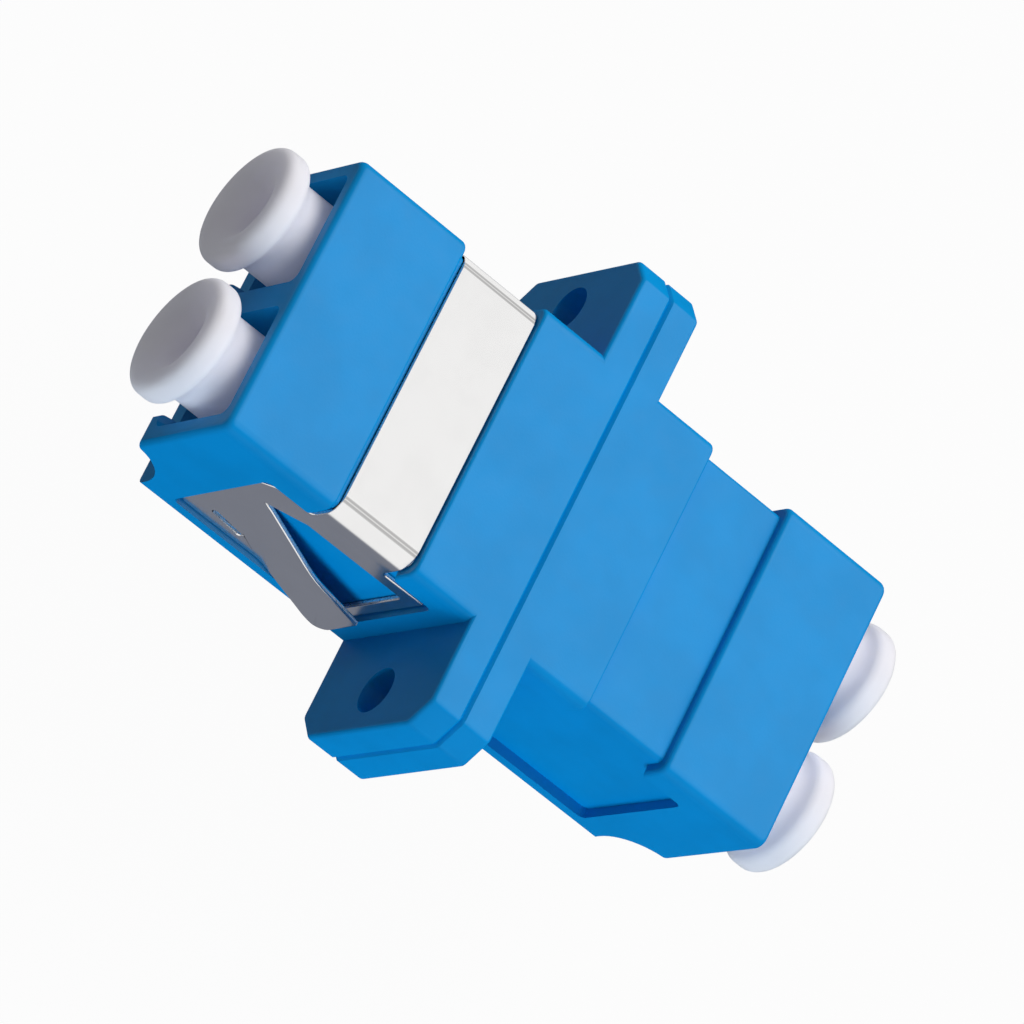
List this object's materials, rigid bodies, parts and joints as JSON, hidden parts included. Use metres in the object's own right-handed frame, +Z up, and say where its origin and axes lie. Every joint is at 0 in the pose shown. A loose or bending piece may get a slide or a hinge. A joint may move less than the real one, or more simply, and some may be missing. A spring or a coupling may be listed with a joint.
{
  "type": "lc duplex fibre adapter",
  "caption": "Flanged duplex fibre-optic panel adapter with back-to-back ports, split alignment sleeves, a folded steel panel clip and pull-out dust caps.",
  "frame": {"origin": "weld plane in the middle of the flange, centred across the ports, on the resting face", "axes": "+X along the ports towards the end without the clip, +Y along the flange ears, +Z up from the resting face, square to the broad faces"},
  "size_m": [0.0344, 0.0222, 0.0091],
  "materials": {
    "housing": "fine satin moulded plastic, saturated blue",
    "clip_steel": "bright rolled stainless spring strip",
    "sleeve_ceramic": "ground white zirconia",
    "cap": "soft translucent off-white moulded plastic"
  },
  "bodies": {
    "adapter": {"housing_half_plain_end": "housing", "housing_half_clip_end": "housing", "panel_clip": "clip_steel", "alignment_sleeve_a": "sleeve_ceramic", "alignment_sleeve_b": "sleeve_ceramic"},
    "cap_plain_a": {"dust_cap_plain_end_a": "cap"},
    "cap_plain_b": {"dust_cap_plain_end_b": "cap"},
    "cap_clip_a": {"dust_cap_clip_end_a": "cap"},
    "cap_clip_b": {"dust_cap_clip_end_b": "cap"}
  },
  "joints": [
    {"name": "cap_plain_a_pull", "type": "slide", "parent": "adapter", "child": "cap_plain_a", "axis": [1, 0, 0], "range_m": [0, 0.014]},
    {"name": "cap_plain_b_pull", "type": "slide", "parent": "adapter", "child": "cap_plain_b", "axis": [1, 0, 0], "range_m": [0, 0.014]},
    {"name": "cap_clip_a_pull", "type": "slide", "parent": "adapter", "child": "cap_clip_a", "axis": [-1, 0, 0], "range_m": [0, 0.014]},
    {"name": "cap_clip_b_pull", "type": "slide", "parent": "adapter", "child": "cap_clip_b", "axis": [-1, 0, 0], "range_m": [0, 0.014]}
  ]
}
